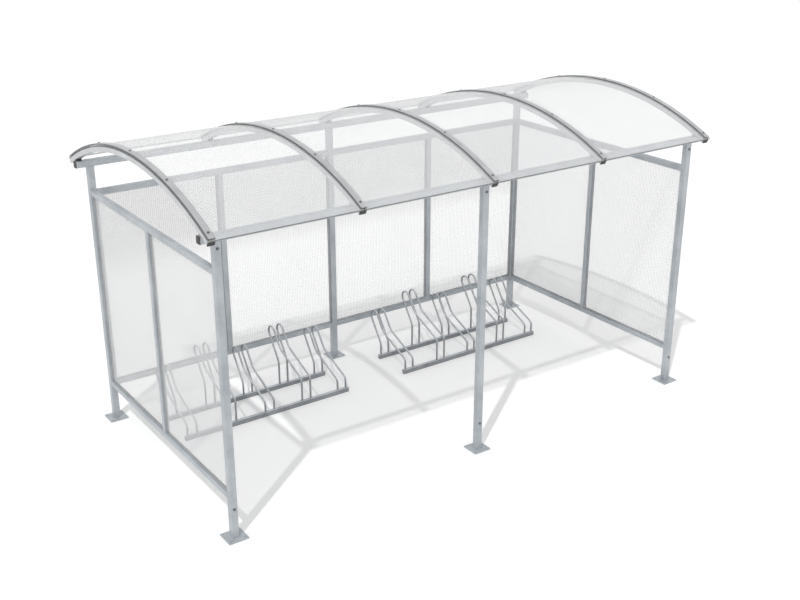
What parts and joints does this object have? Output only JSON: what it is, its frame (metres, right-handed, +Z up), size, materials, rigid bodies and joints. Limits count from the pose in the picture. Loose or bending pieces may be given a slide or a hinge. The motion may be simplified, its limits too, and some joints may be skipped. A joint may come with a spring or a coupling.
{
  "type": "bike shelter",
  "caption": "Free-standing bike shelter: curved twin-wall roof on arch bars, glazed back and ends, open front, and wheel racks with paired hoops inside.",
  "frame": {"origin": "on the ground, in the middle of the plan", "axes": "+X along the shelter, to the right seen from its open front; -Y out of the open front; +Z up"},
  "size_m": [4.426, 2.3706, 2.4685],
  "materials": {
    "galvanised_steel": "hot-dip zinc, dull, with faint spangle",
    "aluminium": "mill finish extrusion, satin",
    "black_plastic": "moulded, matt",
    "gasket_rubber": "extruded, matt",
    "twin_wall_sheet": "clear twin-wall polycarbonate, hazy from its inner ribs"
  },
  "bodies": {
    "root": {"arch_bar_1": "aluminium", "arch_bar_2": "aluminium", "arch_bar_3": "aluminium", "arch_bar_4": "aluminium", "arch_bar_5": "aluminium", "arch_cover_1": "aluminium", "arch_cover_2": "aluminium", "arch_cover_3": "aluminium", "arch_cover_4": "aluminium", "arch_cover_5": "aluminium", "arch_end_caps": "black_plastic", "arch_gaskets": "gasket_rubber", "arch_saddles": "black_plastic", "back_beam": "galvanised_steel", "back_left_post": "galvanised_steel", "back_middle_post": "galvanised_steel", "back_right_post": "galvanised_steel", "back_wall_channels": "aluminium", "back_wall_mullions": "galvanised_steel", "back_wall_rails": "galvanised_steel", "back_wall_sheets": "twin_wall_sheet", "beam_end_caps": "black_plastic", "foot_plates": "galvanised_steel", "foot_spigots": "galvanised_steel", "front_beam": "galvanised_steel", "front_left_post": "galvanised_steel", "front_middle_post": "galvanised_steel", "front_right_post": "galvanised_steel", "head_spigots": "galvanised_steel", "left_rack_high_hoops": "galvanised_steel", "left_rack_low_hoops": "galvanised_steel", "left_rack_rails": "galvanised_steel", "left_wall_channels": "aluminium", "left_wall_mullions": "galvanised_steel", "left_wall_rails": "galvanised_steel", "left_wall_sheets": "twin_wall_sheet", "rack_rail_caps": "galvanised_steel", "right_rack_high_hoops": "galvanised_steel", "right_rack_low_hoops": "galvanised_steel", "right_rack_rails": "galvanised_steel", "right_wall_channels": "aluminium", "right_wall_mullions": "galvanised_steel", "right_wall_rails": "galvanised_steel", "right_wall_sheets": "twin_wall_sheet", "roof_sheet_1": "twin_wall_sheet", "roof_sheet_2": "twin_wall_sheet", "roof_sheet_3": "twin_wall_sheet", "roof_sheet_4": "twin_wall_sheet"}
  },
  "joints": []
}
